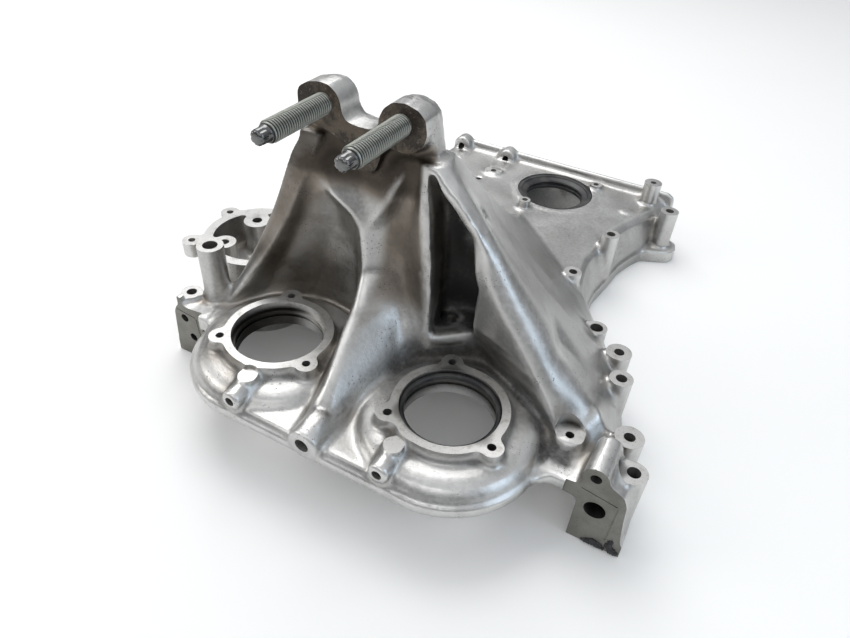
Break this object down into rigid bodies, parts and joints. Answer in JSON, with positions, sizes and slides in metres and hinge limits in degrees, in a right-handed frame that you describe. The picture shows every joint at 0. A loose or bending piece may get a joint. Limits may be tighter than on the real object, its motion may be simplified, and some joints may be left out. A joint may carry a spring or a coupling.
{
  "type": "timing cover",
  "caption": "Cast aluminium engine timing cover with two cam openings, a crank seal, an accessory port and a ribbed mount tower carrying threaded studs.",
  "frame": {"origin": "middle of the footprint on the joint face that lies on the table", "axes": "+Z out of the joint face, up the mount tower; +Y from the cam openings to the crank end; +X to the right seen from the cam end"},
  "size_m": [0.3558, 0.4068, 0.2046],
  "materials": {
    "cast_aluminium": "as cast satin with brown oil staining, machined faces brighter",
    "zinc_steel": "grey zinc plated thread",
    "spring_steel": "plain",
    "black_rubber": "satin black"
  },
  "bodies": {
    "root": {"cover_casting": "cast_aluminium", "mount_studs": "zinc_steel", "crank_seal": "black_rubber", "garter_spring": "spring_steel", "opening_seal": "black_rubber"}
  },
  "joints": []
}
